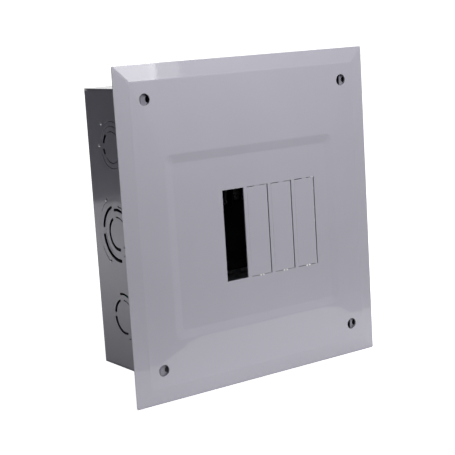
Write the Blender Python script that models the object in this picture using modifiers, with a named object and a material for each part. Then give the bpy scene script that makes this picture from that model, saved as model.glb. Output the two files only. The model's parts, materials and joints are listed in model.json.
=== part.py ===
"""A flush-mounted residential load center with four breaker positions, as separate named parts.

Frame: metres, origin at the centre of the enclosure's back face, +X right, -Y towards the room, +Z up.
"""

import math

import bmesh
import bpy
from mathutils import Matrix

MM = 0.001
GAP = 0.3 * MM
SHEET = 1.2 * MM
OVERSHOOT = 3 * MM

# Enclosure
BOX_WIDTH = 219.2 * MM
BOX_HEIGHT = 237.5 * MM
BOX_DEPTH = 89.5 * MM
BEND_RADIUS = 2.4 * MM
FLANGE = 11 * MM
FLANGE_BACK_Y = -5 * MM
FLANGE_FRONT_Y = -83.5 * MM
BACK_FLANGE_INSET = 8 * MM
TAB_HOLE_X = 101.3 * MM
TAB_HOLE_Z = 110.2 * MM
TAB_HOLE_RADIUS = 2.5 * MM
TAB_INNER_X = 96.6 * MM
TAB_LENGTH = 16 * MM
NAIL_HOLE_RADIUS = 3.2 * MM
NAIL_HOLE_X = 88 * MM
NAIL_HOLE_Z = 104 * MM

# Cover. It is laid on the box a little left of centre, as a cover with no screws in it is.
COVER_X = -4.8 * MM
COVER_WIDTH = 254.9 * MM
COVER_HEIGHT = 276.2 * MM
COVER_BEVEL = 13 * MM
COVER_RISE = 3 * MM
RIM_Y = -89.85 * MM
FRAME_Y = RIM_Y - COVER_RISE
PANEL_RECESS = 1.1 * MM
PANEL_Y = FRAME_Y + PANEL_RECESS
PANEL_HALF_WIDTH = 87 * MM
PANEL_TOP = 64.5 * MM
PANEL_BOTTOM = -88 * MM
PANEL_STEP = 7.25 * MM
RIM_CORNER = 1.2 * MM
PANEL_CORNER = 6 * MM
PANEL_FLOOR_CORNER = 3 * MM
COVER_HOLE_X = 101.1 * MM
COVER_HOLE_Z = 110.2 * MM
COVER_HOLE_RADIUS = 4.95 * MM

# Breaker positions
POLE_PITCH = 25.4 * MM
POLE_COUNT = 4
SLOT_GROUP_X = COVER_X + 16.6 * MM
SLOT_WIDTH = 21.8 * MM
SLOT_HEIGHT = 77.3 * MM
SLOT_Z = -9.45 * MM
TWISTOUT_LEFT_SLIT = 0.35 * MM
TWISTOUT_RIGHT_SLIT = 1.05 * MM
TWISTOUT_END_SLIT = 0.7 * MM
TWISTOUT_TAB_WIDTH = 4.5 * MM

# Knockouts: distance from the back face, then for each set its height and its slits
KNOCKOUT_Y = -41 * MM
SIDE_KNOCKOUTS = (
    # height, then slits as (radius, start angle, end angle, start width, end width);
    # angle 0 points to the back and 90 up
    (
        70.6 * MM,
        (
            (13.2, 12, 49, 2.4, 1.8),
            (13.2, -28, -7, 1.6, 2.4),
            (13.2, 62, 165, 0.7, 0.7),
            (13.2, 190, 318, 0.7, 0.7),
            (17.8, 20, 160, 0.5, 0.5),
            (17.8, 200, 340, 0.5, 0.5),
            (21.6, 66, 152, 0.5, 0.5),
        ),
    ),
    (
        -1.5 * MM,
        (
            (13.7, -99, 59, 2.2, 2.0),
            (13.7, 81, 239, 1.0, 1.0),
            (20.0, 76, 166, 2.0, 1.4),
            (20.0, 194, 250, 1.0, 1.0),
            (23.2, -97, -6, 2.4, 3.3),
            (23.2, 8.5, 70, 3.0, 1.8),
            (23.2, 95, 172, 0.8, 0.8),
            (23.2, 188, 240, 0.8, 0.8),
            (30.4, 34, 57, 0.5, 0.5),
            (30.4, -54, -28, 0.5, 0.5),
        ),
    ),
    (
        -72.7 * MM,
        (
            (14.4, 8, 69, 2.8, 1.4),
            (14.4, -105, -6, 1.4, 3.0),
            (14.4, 90, 175, 0.8, 0.8),
            (14.4, 188, 236, 0.8, 0.8),
            (19.6, 75, 165, 1.5, 1.0),
            (19.6, 195, 255, 0.8, 0.8),
        ),
    ),
)
END_KNOCKOUT_X = (-58 * MM, 58 * MM)
END_KNOCKOUT_SLITS = (
    (14.1, 10, 170, 0.8, 0.8),
    (14.1, 190, 350, 0.8, 0.8),
    (17.4, 100, 260, 0.6, 0.6),
    (17.4, -80, 80, 0.6, 0.6),
)
BACK_KNOCKOUTS = ((0, 98 * MM), (0, -98 * MM))
BACK_KNOCKOUT_SLITS = ((11.1, 15, 165, 0.8, 0.8), (11.1, 195, 345, 0.8, 0.8))
ARC_STEP_DEG = 16

# Screws as (head radius, head height, shank radius), and the holes in what they hold
BAR_SCREW = (3.9 * MM, 2.4 * MM, 2.1 * MM)
PAN_SCREW = (4 * MM, 2.4 * MM, 2.1 * MM)
SMALL_SCREW = (3.4 * MM, 2.2 * MM, 1.6 * MM)
SMALL_SCREW_LENGTH = 5 * MM
BOND_SCREW = (4.2 * MM, 2.4 * MM, 2.1 * MM)
TERMINAL_SCREW = (3.9 * MM, 2.6 * MM, 2.2 * MM)
SCREW_HOLE_RADIUS = 2.4 * MM
SMALL_SCREW_HOLE_RADIUS = 1.9 * MM
TERMINAL_HOLE_RADIUS = 2.5 * MM
SCREW_EDGE = 0.5 * MM
DRIVER_SLOT_WIDTH = 1 * MM
DRIVER_SLOT_DEPTH = 1.1 * MM

# Interior: distances forward of the back face
PAN_FOOT_Y = -(SHEET + GAP)
PAN_WEB_Y = -8 * MM
PAN_SHEET = 1.2 * MM
PAN_HALF_WIDTH = 72 * MM
PAN_TOP = 84 * MM
PAN_BOTTOM = -78 * MM
PAN_FOOT = 13 * MM
PAN_SLOPE = 3 * MM
PAN_SCREW_INSET = 10 * MM
BASE_BACK_Y = PAN_WEB_Y - PAN_SHEET - GAP
BASE_FRONT_Y = -22 * MM
BASE_TOP = 69 * MM
BASE_BOTTOM = -56 * MM
BASE_HALF_WIDTH = 54 * MM
# How far a joined shape runs into the one it joins
ROOT = 2 * MM
BASE_SCREW_HOLE_END_Y = BASE_BACK_Y - 5 * MM
RIB_THICKNESS = 2 * MM
RIB_FRONT_Y = -37 * MM
RIB_TOP = 26 * MM
RIB_BOTTOM = 4 * MM
BUS_THICKNESS = 3 * MM
BUS_DEPTH = 12 * MM
BUS_A_BACK_Y = BASE_FRONT_Y - GAP
BUS_A_Z = 44 * MM
BUS_B_BACK_Y = -30.3 * MM
BUS_B_Z = 61 * MM
BUS_END = 8 * MM
LEDGE_MARGIN = 1 * MM
FINGER_WIDTH = 10 * MM
STAB_THICKNESS = 2.4 * MM
STAB_BOTTOM = 8 * MM
STAB_TOP = 21 * MM
STAB_ROOT_LAP = 1 * MM
STAB_FRONT_Y = -44 * MM
RAIL_Z = -45 * MM
RAIL_FRONT_Y = -34 * MM
RAIL_LIP = 5 * MM
RAIL_BELOW_SCREWS = 6 * MM
RAIL_ABOVE_SCREWS = 5 * MM

# Lugs
LUG_WIDTH = 15 * MM
LUG_DEPTH = 17 * MM
LUG_HEIGHT = 17 * MM
LUG_CHAMFER = 1.5 * MM
LUG_BORE_RADIUS = 4.9 * MM
SET_SCREW_RADIUS = 3.7 * MM
SET_SCREW_LENGTH = 11 * MM
SET_SCREW_EDGE = 0.6 * MM
SET_SCREW_SOCKET_RADIUS = 2.1 * MM
SET_SCREW_SOCKET_DEPTH = 4.5 * MM
SET_SCREW_HOLE_RADIUS = 4 * MM
# How far the tip shows in the bore when the screw is backed out
SET_SCREW_TIP = 0.4 * MM
LUG_BORE_FROM_BACK = 6.6 * MM
LUG_OVERLAP = 2 * MM

# Neutral and ground bars
NEUTRAL_X = -84 * MM
NEUTRAL_BACK_Y = -20.3 * MM
NEUTRAL_SECTION = 9.5 * MM
NEUTRAL_BOTTOM = -52 * MM
NEUTRAL_TOP = 58 * MM
NEUTRAL_SCREW_Z = tuple((-38 + 12.5 * i) * MM for i in range(6))
NEUTRAL_FIXING_Z = (-47 * MM, 36.5 * MM)
NEUTRAL_LUG_Z = 49.5 * MM
GROUND_X = 93 * MM
GROUND_SECTION = 9 * MM
GROUND_BOTTOM = -48 * MM
GROUND_TOP = 24 * MM
GROUND_SCREW_Z = tuple((-30 + 12 * i) * MM for i in range(4))
GROUND_FIXING_Z = (-42 * MM, 18 * MM)
WIRE_HOLE_RADIUS = 2.6 * MM
TERMINAL_BACKED_OUT = 5.2 * MM
SUPPORT_HEIGHT = 9.6 * MM
SUPPORT_FOOT_WIDTH = 20 * MM
SUPPORT_FOOT_THICKNESS = 3 * MM
SUPPORT_POST_WIDTH = 10 * MM
SUPPORT_POST_HEIGHT = 8.8 * MM
SUPPORT_HOLE_DEPTH = 8 * MM
STRAP_SHEET = 1 * MM
STRAP_WIDTH = 9 * MM
STRAP_FOOT = 22 * MM
BOND_SCREW_DROP = 15 * MM

# Outline plane and extrusion axis for each direction
PLANES = {"X": (1, 2, 0), "Y": (0, 2, 1), "Z": (0, 1, 2)}


def start():
    """Clears the scene and makes the two collections."""
    for obj in list(bpy.data.objects):
        bpy.data.objects.remove(obj)
    for name in ("load_center", "cutters"):
        group = bpy.data.collections.new(name)
        bpy.context.scene.collection.children.link(group)
    bpy.data.collections["cutters"].hide_render = True


def material(name, colour, roughness, metallic):
    made = bpy.data.materials.new(name)
    made.use_nodes = True
    shader = made.node_tree.nodes["Principled BSDF"]
    shader.inputs["Base Color"].default_value = (*colour, 1)
    shader.inputs["Roughness"].default_value = roughness
    shader.inputs["Metallic"].default_value = metallic
    made.diffuse_color = (*colour, 1)
    return made


def materials():
    return {
        "enamel": material("grey_enamel", (0.37, 0.36, 0.41), 0.32, 0.0),
        "zinc": material("galvanised_steel", (0.62, 0.63, 0.64), 0.42, 1.0),
        "plastic": material("black_moulding", (0.015, 0.015, 0.017), 0.5, 0.0),
        "tin": material("tin_plated_bus", (0.72, 0.71, 0.68), 0.3, 1.0),
        "aluminium": material("lug_aluminium", (0.75, 0.76, 0.77), 0.35, 1.0),
        "screw": material("zinc_screw", (0.66, 0.65, 0.6), 0.35, 1.0),
        "support": material("white_moulding", (0.75, 0.74, 0.7), 0.45, 0.0),
        "bond": material("green_screw", (0.03, 0.28, 0.08), 0.4, 0.3),
        "copper": material("copper_strap", (0.8, 0.42, 0.26), 0.35, 1.0),
    }


def prism(outline, axis, low, high):
    """A flat outline extruded along an axis. Its points are (Y, Z), (X, Z) or (X, Y)."""
    u, v, w = PLANES[axis]
    shape = bmesh.new()
    corners = []
    for first, second in outline:
        point = [0.0, 0.0, 0.0]
        point[u] = first
        point[v] = second
        point[w] = low
        corners.append(shape.verts.new(point))
    face = shape.faces.new(corners)
    made = bmesh.ops.extrude_face_region(shape, geom=[face])["geom"]
    moved = [item for item in made if isinstance(item, bmesh.types.BMVert)]
    shift = [0.0, 0.0, 0.0]
    shift[w] = high - low
    bmesh.ops.translate(shape, verts=moved, vec=shift)
    bmesh.ops.recalc_face_normals(shape, faces=shape.faces)
    return shape


def block(x, y, z):
    """A box from its low and high limits along each axis."""
    shape = bmesh.new()
    middle = [(low + high) / 2 for low, high in (x, y, z)]
    size = [high - low for low, high in (x, y, z)]
    place = Matrix.Translation(middle) @ Matrix.Diagonal((*size, 1))
    bmesh.ops.create_cube(shape, size=1, matrix=place)
    return shape


def rod(radius, axis, centre, low, high, segments=16):
    """A cylinder along an axis; centre is its place on the other two."""
    u, v, w = PLANES[axis]
    middle = [0.0, 0.0, 0.0]
    middle[u], middle[v] = centre
    middle[w] = (low + high) / 2
    turns = {"X": "Y", "Y": "X"}
    turn = Matrix.Rotation(math.pi / 2, 4, turns[axis]) if axis in turns else Matrix()
    shape = bmesh.new()
    bmesh.ops.create_cone(
        shape,
        cap_ends=True,
        segments=segments,
        radius1=radius,
        radius2=radius,
        depth=high - low,
        matrix=Matrix.Translation(middle) @ turn,
    )
    return shape


def gathered(shapes):
    """Shapes that don't touch, as one cutter."""
    whole = bmesh.new()
    for shape in shapes:
        mesh = bpy.data.meshes.new("piece")
        shape.to_mesh(mesh)
        shape.free()
        whole.from_mesh(mesh)
        bpy.data.meshes.remove(mesh)
    return whole


def arc(centre, radius, start_deg, end_deg, count):
    """Points along a circle's arc, ends included."""
    points = []
    for i in range(count + 1):
        angle = math.radians(start_deg + (end_deg - start_deg) * i / count)
        points.append((centre[0] + radius * math.cos(angle), centre[1] + radius * math.sin(angle)))
    return points


def rounded_rectangle(x, z, radius, count=3):
    """Corner arcs of a rectangle, anticlockwise from its lower left."""
    points = []
    corners = ((x[0], z[0], 180), (x[1], z[0], 270), (x[1], z[1], 0), (x[0], z[1], 90))
    for corner_x, corner_z, start_deg in corners:
        middle = (
            corner_x + radius * (1 if corner_x == x[0] else -1),
            corner_z + radius * (1 if corner_z == z[0] else -1),
        )
        points += arc(middle, radius, start_deg, start_deg + 90, count)
    return points


def slit(centre, spec, axis, low, high):
    """A knockout's curved slit, whose width changes evenly from one end to the other."""
    radius, start_deg, end_deg, start_width, end_width = spec
    count = max(2, round(abs(end_deg - start_deg) / ARC_STEP_DEG))
    outer = []
    inner = []
    for i in range(count + 1):
        part = i / count
        angle = math.radians(start_deg + (end_deg - start_deg) * part)
        half = (start_width + (end_width - start_width) * part) / 2
        for points, reach in ((outer, radius + half), (inner, radius - half)):
            points.append(
                (centre[0] + reach * MM * math.cos(angle), centre[1] + reach * MM * math.sin(angle))
            )
    return prism(outer + inner[::-1], axis, low, high)


def mesh_from(shape, name):
    mesh = bpy.data.meshes.new(name)
    shape.to_mesh(mesh)
    shape.free()
    return mesh


def helper(shape, name):
    """A cutter, or a piece that a Boolean joins: hidden and left out of the object."""
    made = bpy.data.objects.new(name, mesh_from(shape, name))
    bpy.data.collections["cutters"].objects.link(made)
    made.hide_render = True
    made.display_type = "WIRE"
    return made


def boolean(target, operation, shape):
    number = len(target.modifiers)
    change = target.modifiers.new(f"{operation.lower()}_{number}", "BOOLEAN")
    change.operation = operation
    change.solver = "EXACT"
    change.object = helper(shape, f"{target.name}_{operation.lower()}_{number}")


def finish(target, finish_material, parent=None):
    """Gives a part its material, smooth round faces and parent."""
    target.data.materials.clear()
    target.data.materials.append(finish_material)
    target.data.shade_smooth()
    target.data.set_sharp_from_angle(angle=math.radians(35))
    if parent:
        target.parent = parent
        target.location -= parent.location
    return target


def part(name, finish_material, shape, joins=(), cuts=(), origin=(0, 0, 0), parent=None, solidify=None):
    """A part from shapes in the object's frame, with its own origin where it turns or sits."""
    made = bpy.data.objects.new(name, mesh_from(shape, name))
    bpy.data.collections["load_center"].objects.link(made)
    made.data.transform(Matrix.Translation([-value for value in origin]))
    made.location = origin
    if solidify:
        shell = made.modifiers.new("sheet", "SOLIDIFY")
        shell.thickness = solidify
        shell.offset = -1
        shell.use_even_offset = True
    for extra in joins:
        boolean(made, "UNION", extra)
    for cutter in cuts:
        boolean(made, "DIFFERENCE", cutter)
    return finish(made, finish_material, parent)


def turned(profile, steps, slot):
    """A turned mesh about Z from (radius, height) points, top to bottom, with a driver slot."""
    shape = bmesh.new()
    points = [shape.verts.new((radius, 0, height)) for radius, height in profile]
    for first, second in zip(points, points[1:]):
        shape.edges.new((first, second))
    made = bpy.data.objects.new("blank", mesh_from(shape, "blank"))
    bpy.data.collections["cutters"].objects.link(made)
    lathe = made.modifiers.new("lathe", "SCREW")
    lathe.steps = steps
    lathe.render_steps = steps
    lathe.use_merge_vertices = True
    lathe.merge_threshold = 0.00001
    boolean(made, "DIFFERENCE", slot)
    graph = bpy.context.evaluated_depsgraph_get()
    mesh = bpy.data.meshes.new_from_object(made.evaluated_get(graph))
    for old in [modifier.object for modifier in made.modifiers if modifier.type == "BOOLEAN"] + [made]:
        bpy.data.objects.remove(old)
    return mesh


def slotted_screw(size, length):
    """A slotted pan-head screw about Z, its head's underside at 0 and its tip down."""
    head_radius, head_height, shank_radius = size
    profile = (
        (0, head_height),
        (head_radius - SCREW_EDGE, head_height),
        (head_radius, head_height - SCREW_EDGE),
        (head_radius, 0),
        (shank_radius, 0),
        (shank_radius, -length),
        (0, -length),
    )
    reach = head_radius + OVERSHOOT
    half = DRIVER_SLOT_WIDTH / 2
    heights = (head_height - DRIVER_SLOT_DEPTH, head_height + OVERSHOOT)
    return turned(profile, 12, block((-reach, reach), (-half, half), heights))


def set_screw_mesh():
    """A headless screw about Z, its outer end at 0, with a hexagon socket."""
    edge = SET_SCREW_EDGE
    profile = (
        (0, 0),
        (SET_SCREW_RADIUS - edge, 0),
        (SET_SCREW_RADIUS, -edge),
        (SET_SCREW_RADIUS, -SET_SCREW_LENGTH + edge),
        (SET_SCREW_RADIUS - edge, -SET_SCREW_LENGTH),
        (0, -SET_SCREW_LENGTH),
    )
    socket = rod(SET_SCREW_SOCKET_RADIUS, "Z", (0, 0), -SET_SCREW_SOCKET_DEPTH, OVERSHOOT, 6)
    return turned(profile, 16, socket)


def screw(name, mesh, place, finish_material, parent=None):
    """A screw driven in from the front; place is its head's underside or its outer end."""
    made = bpy.data.objects.new(name, mesh)
    bpy.data.collections["load_center"].objects.link(made)
    made.location = place
    made.rotation_euler = (math.pi / 2, 0, 0)
    return finish(made, finish_material, parent)


def slot_centre(index):
    return SLOT_GROUP_X + (index - (POLE_COUNT - 1) / 2) * POLE_PITCH


def pan_screw_places():
    reach = PAN_HALF_WIDTH - PAN_SCREW_INSET
    foot_z = (PAN_BOTTOM + PAN_FOOT / 2, PAN_TOP - PAN_FOOT / 2)
    return [(SLOT_GROUP_X + side * reach, z) for side in (-1, 1) for z in foot_z]


def enclosure_wrap(look):
    """Back and two sides, bent from one sheet, with knockouts and nail holes."""
    half = BOX_WIDTH / 2
    bend = BEND_RADIUS
    path = [(-half, -BOX_DEPTH)]
    path += arc((-half + bend, -bend), bend, 180, 90, 4)
    path += arc((half - bend, -bend), bend, 90, 0, 4)
    path.append((half, -BOX_DEPTH))
    top = BOX_HEIGHT / 2 - SHEET - GAP
    shape = bmesh.new()
    rows = [[shape.verts.new((x, y, z)) for x, y in path] for z in (-top, top)]
    for i in range(len(path) - 1):
        shape.faces.new((rows[0][i], rows[1][i], rows[1][i + 1], rows[0][i + 1]))
    cutters = []
    for height, slits in SIDE_KNOCKOUTS:
        for spec in slits:
            for side in (-1, 1):
                limits = sorted((side * (half + OVERSHOOT), side * (half - OVERSHOOT)))
                cutters.append(slit((KNOCKOUT_Y, height), spec, "X", *limits))
    for x, z in BACK_KNOCKOUTS:
        for spec in BACK_KNOCKOUT_SLITS:
            cutters.append(slit((x, z), spec, "Y", -OVERSHOOT, OVERSHOOT))
    for x in (-NAIL_HOLE_X, NAIL_HOLE_X):
        for z in (-NAIL_HOLE_Z, NAIL_HOLE_Z):
            cutters.append(rod(NAIL_HOLE_RADIUS, "Y", (x, z), -OVERSHOOT, OVERSHOOT))
    fixings = pan_screw_places()
    fixings += [(GROUND_X, z) for z in GROUND_FIXING_Z]
    fixings.append((NEUTRAL_X, NEUTRAL_BOTTOM - BOND_SCREW_DROP))
    for place in fixings:
        cutters.append(rod(SCREW_HOLE_RADIUS, "Y", place, -OVERSHOOT, OVERSHOOT))
    part("enclosure_wrap", look["enamel"], shape, cuts=[gathered(cutters)], solidify=SHEET)


def end_wall(name, side, look):
    """The top (side 1) or bottom (side -1) wall: a flanged plate with two drilled corner tabs."""
    half = BOX_WIDTH / 2
    bend = BEND_RADIUS
    outline = [(-half, -BOX_DEPTH), (half, -BOX_DEPTH)]
    outline += arc((half - bend, -bend), bend, 0, 90, 4)
    outline += arc((-half + bend, -bend), bend, 90, 180, 4)

    def heights(*distances):
        """Limits along Z from distances inward of the wall's outer face."""
        return sorted(side * (BOX_HEIGHT / 2 - distance) for distance in distances)

    plate = prism(outline, "Z", *heights(0, SHEET))
    joins = []
    inner = half - SHEET - GAP
    for hand in (-1, 1):
        x = sorted((hand * inner, hand * (inner - SHEET)))
        joins.append(block(x, (FLANGE_FRONT_Y, FLANGE_BACK_Y), heights(SHEET / 2, FLANGE)))
        tab = sorted((hand * TAB_INNER_X, hand * inner))
        joins.append(block(tab, (-BOX_DEPTH, -BOX_DEPTH + SHEET), heights(SHEET / 2, TAB_LENGTH)))
    back = (-SHEET - GAP - SHEET, -SHEET - GAP)
    across = (-inner + BACK_FLANGE_INSET, inner - BACK_FLANGE_INSET)
    joins.append(block(across, back, heights(SHEET / 2, FLANGE)))
    cutters = []
    for hand in (-1, 1):
        place = (hand * TAB_HOLE_X, side * TAB_HOLE_Z)
        cutters.append(rod(TAB_HOLE_RADIUS, "Y", place, -BOX_DEPTH - OVERSHOOT, -BOX_DEPTH + OVERSHOOT))
    for x in END_KNOCKOUT_X:
        for spec in END_KNOCKOUT_SLITS:
            cutters.append(slit((x, KNOCKOUT_Y), spec, "Z", *heights(-OVERSHOOT, OVERSHOOT)))
    part(name, look["enamel"], plate, joins, [gathered(cutters)])


def cover_plate(look):
    """The pressed front: bevelled rim, raised frame, recessed panel, breaker slots and screw holes."""
    half_width = COVER_WIDTH / 2
    half_height = COVER_HEIGHT / 2
    step = PANEL_STEP
    outer = (
        (COVER_X - half_width, COVER_X + half_width),
        (-half_height, half_height),
    )
    fold = tuple((low + COVER_BEVEL, high - COVER_BEVEL) for low, high in outer)
    panel = ((COVER_X - PANEL_HALF_WIDTH, COVER_X + PANEL_HALF_WIDTH), (PANEL_BOTTOM, PANEL_TOP))
    floor = tuple((low + step, high - step) for low, high in panel)
    loops = (
        (outer, RIM_CORNER, RIM_Y),
        (fold, RIM_CORNER, FRAME_Y),
        (panel, PANEL_CORNER, FRAME_Y),
        (floor, PANEL_FLOOR_CORNER, PANEL_Y),
    )
    shape = bmesh.new()
    rings = []
    for (x, z), radius, y in loops:
        rings.append([shape.verts.new((a, y, b)) for a, b in rounded_rectangle(x, z, radius)])
    for first, second in zip(rings, rings[1:]):
        for i in range(len(first)):
            j = (i + 1) % len(first)
            shape.faces.new((first[i], first[j], second[j], second[i]))
    shape.faces.new(rings[-1])
    depth = (FRAME_Y - OVERSHOOT, RIM_Y + 2 * OVERSHOOT)
    slot_z = (SLOT_Z - SLOT_HEIGHT / 2, SLOT_Z + SLOT_HEIGHT / 2)
    cutters = []
    for i in range(POLE_COUNT):
        x = slot_centre(i)
        cutters.append(block((x - SLOT_WIDTH / 2, x + SLOT_WIDTH / 2), depth, slot_z))
    for x in (-COVER_HOLE_X, COVER_HOLE_X):
        for z in (-COVER_HOLE_Z, COVER_HOLE_Z):
            cutters.append(rod(COVER_HOLE_RADIUS, "Y", (COVER_X + x, z), *depth, 24))
    origin = (COVER_X, RIM_Y, 0)
    return part("cover_plate", look["enamel"], shape, (), [gathered(cutters)], origin, solidify=SHEET)


def twistout_plate(number, index, look, cover):
    """A filler plate still in its breaker slot. It turns about the line through its end tabs."""
    x = slot_centre(index)
    half_slot = SLOT_WIDTH / 2
    left = x - half_slot + TWISTOUT_LEFT_SLIT
    right = x + half_slot - TWISTOUT_RIGHT_SLIT
    half_tab = TWISTOUT_TAB_WIDTH / 2
    body = SLOT_HEIGHT / 2 - TWISTOUT_END_SLIT
    reach = SLOT_HEIGHT / 2 - GAP
    outline = [(left, SLOT_Z - body), (x - half_tab, SLOT_Z - body)]
    outline += [(x - half_tab, SLOT_Z - reach), (x + half_tab, SLOT_Z - reach)]
    outline += [(x + half_tab, SLOT_Z - body), (right, SLOT_Z - body)]
    outline += [(right, SLOT_Z + body), (x + half_tab, SLOT_Z + body)]
    outline += [(x + half_tab, SLOT_Z + reach), (x - half_tab, SLOT_Z + reach)]
    outline += [(x - half_tab, SLOT_Z + body), (left, SLOT_Z + body)]
    shape = prism(outline, "Y", PANEL_Y, PANEL_Y + SHEET)
    origin = (x, PANEL_Y + SHEET / 2, SLOT_Z)
    part(f"twistout_plate_{number}", look["enamel"], shape, origin=origin, parent=cover)


def interior_pan(look):
    """The galvanised carrier that holds the bus assembly off the back."""
    foot = PAN_FOOT
    slope = PAN_SLOPE
    path = (
        (PAN_FOOT_Y, PAN_BOTTOM),
        (PAN_FOOT_Y, PAN_BOTTOM + foot),
        (PAN_WEB_Y, PAN_BOTTOM + foot + slope),
        (PAN_WEB_Y, PAN_TOP - foot - slope),
        (PAN_FOOT_Y, PAN_TOP - foot),
        (PAN_FOOT_Y, PAN_TOP),
    )
    sides = (SLOT_GROUP_X - PAN_HALF_WIDTH, SLOT_GROUP_X + PAN_HALF_WIDTH)
    shape = bmesh.new()
    rows = [[shape.verts.new((x, y, z)) for y, z in path] for x in sides]
    for i in range(len(path) - 1):
        shape.faces.new((rows[0][i], rows[0][i + 1], rows[1][i + 1], rows[1][i]))
    depth = (PAN_FOOT_Y - OVERSHOOT, PAN_FOOT_Y + OVERSHOOT)
    cutters = [rod(SCREW_HOLE_RADIUS, "Y", place, *depth) for place in pan_screw_places()]
    part("interior_pan", look["zinc"], shape, cuts=[gathered(cutters)], solidify=PAN_SHEET)


def bus_insulator(look):
    """The black moulded base, with a ledge under the upper bus bar and barriers between poles."""
    centre = SLOT_GROUP_X
    width = (centre - BASE_HALF_WIDTH, centre + BASE_HALF_WIDTH)
    base = block(width, (BASE_FRONT_Y, BASE_BACK_Y), (BASE_BOTTOM, BASE_TOP))
    ledge = (BUS_B_Z - BUS_DEPTH / 2 - LEDGE_MARGIN, BASE_TOP)
    joins = [block(width, (BUS_B_BACK_Y + GAP, BASE_BACK_Y - ROOT), ledge)]
    for i in range(POLE_COUNT + 1):
        x = slot_centre(i) - POLE_PITCH / 2
        sides = (x - RIB_THICKNESS / 2, x + RIB_THICKNESS / 2)
        joins.append(block(sides, (RIB_FRONT_Y, BASE_BACK_Y - ROOT), (RIB_BOTTOM, RIB_TOP)))
    cutters = []
    for x, z, y in bus_screw_places() + rail_screw_places():
        cutters.append(rod(SMALL_SCREW_HOLE_RADIUS, "Y", (x, z), y, BASE_SCREW_HOLE_END_Y))
    part("bus_insulator", look["plastic"], base, joins, [gathered(cutters)])


def bus_screw_places():
    """(X, Z, Y of the bar's front face) of the screws that hold the two bus bars."""
    places = []
    for z, back in ((BUS_A_Z, BUS_A_BACK_Y), (BUS_B_Z, BUS_B_BACK_Y)):
        for x in (slot_centre(0) + POLE_PITCH / 2, slot_centre(2) + POLE_PITCH / 2):
            places.append((x, z, back - BUS_THICKNESS))
    return places


def rail_screw_places():
    front = BASE_FRONT_Y - GAP - PAN_SHEET
    return [(slot_centre(i) + POLE_PITCH / 2, RAIL_Z, front) for i in (0, 2)]


def bus_bar(name, z, back, poles, end, look):
    """A flat bar across the box with a finger and an upright stab at every other pole."""
    front = back - BUS_THICKNESS
    half = BUS_DEPTH / 2
    low = min(slot_centre(0) - BUS_END, end)
    high = max(slot_centre(POLE_COUNT - 1) + BUS_END, end)
    bar = block((low, high), (front, back), (z - half, z + half))
    joins = []
    for i in poles:
        x = slot_centre(i)
        finger = (x - FINGER_WIDTH / 2, x + FINGER_WIDTH / 2)
        joins.append(block(finger, (front, back), (STAB_BOTTOM, z)))
        blade = (x - STAB_THICKNESS / 2, x + STAB_THICKNESS / 2)
        middle = (front + back) / 2
        joins.append(block(blade, (STAB_FRONT_Y, middle), (STAB_BOTTOM + STAB_ROOT_LAP, STAB_TOP)))
    depth = (front - OVERSHOOT, back + OVERSHOOT)
    cutters = []
    for screw_x, screw_z, _ in bus_screw_places():
        if screw_z == z:
            cutters.append(rod(SMALL_SCREW_HOLE_RADIUS, "Y", (screw_x, z), *depth))
    part(name, look["tin"], bar, joins, [gathered(cutters)])


def hook_rail(look):
    """The black moulded rail that the breakers' outer ends hook under."""
    back = BASE_FRONT_Y - GAP
    sheet = PAN_SHEET
    low = RAIL_Z - RAIL_BELOW_SCREWS
    high = RAIL_Z + RAIL_ABOVE_SCREWS
    outline = (
        (back, low),
        (back, high),
        (back - sheet, high),
        (back - sheet, low + sheet),
        (RAIL_FRONT_Y + sheet, low + sheet),
        (RAIL_FRONT_Y + sheet, low + RAIL_LIP),
        (RAIL_FRONT_Y, low + RAIL_LIP),
        (RAIL_FRONT_Y, low),
    )
    ends = (slot_centre(0) - POLE_PITCH / 2, slot_centre(POLE_COUNT - 1) + POLE_PITCH / 2)
    cutters = []
    for x, z, _ in rail_screw_places():
        depth = (back - sheet - OVERSHOOT, back + OVERSHOOT)
        cutters.append(rod(SMALL_SCREW_HOLE_RADIUS, "Y", (x, z), *depth))
    part("breaker_hook_rail", look["plastic"], prism(outline, "X", *ends), (), [gathered(cutters)])


def lug(name, x, z, back, look):
    """A block with a wire bore from top to bottom and a set-screw hole from the front."""
    half = LUG_WIDTH / 2
    tall = LUG_HEIGHT / 2
    bore_y = back - LUG_BORE_FROM_BACK
    front = back - LUG_DEPTH
    chamfer = LUG_CHAMFER
    outline = (
        (x - half, back),
        (x + half, back),
        (x + half, front + chamfer),
        (x + half - chamfer, front),
        (x - half + chamfer, front),
        (x - half, front + chamfer),
    )
    body = prism(outline, "Z", z - tall, z + tall)
    bore = rod(LUG_BORE_RADIUS, "Z", (x, bore_y), z - tall - OVERSHOOT, z + tall + OVERSHOOT, 20)
    thread = rod(SET_SCREW_HOLE_RADIUS, "Y", (x, z), front - OVERSHOOT, bore_y)
    part(name, look["aluminium"], body, (), [bore, thread], origin=(x, back, z))


def lug_set_screw(name, mesh, x, z, back, look):
    """The wire-clamping screw, backed out until its tip clears the bore."""
    tip = back - LUG_BORE_FROM_BACK - LUG_BORE_RADIUS + SET_SCREW_TIP
    screw(name, mesh, (x, tip - SET_SCREW_LENGTH, z), look["screw"])


def terminal_bar(name, x, back, section, z, screws, fixings, look):
    """A square bar with a wire hole across and a screw hole from the front at each terminal."""
    half = section / 2
    front = back - section
    bar = block((x - half, x + half), (front, back), z)
    wires = []
    for height in screws:
        wires.append(rod(WIRE_HOLE_RADIUS, "X", (back - half, height), x - section, x + section))
    holes = []
    for height in screws:
        holes.append(rod(TERMINAL_HOLE_RADIUS, "Y", (x, height), front - OVERSHOOT, back - half))
    for height in fixings:
        depth = (front - OVERSHOOT, back + OVERSHOOT)
        holes.append(rod(TERMINAL_HOLE_RADIUS, "Y", (x, height), *depth))
    part(name, look["aluminium"], bar, (), [gathered(wires), gathered(holes)])


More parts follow.
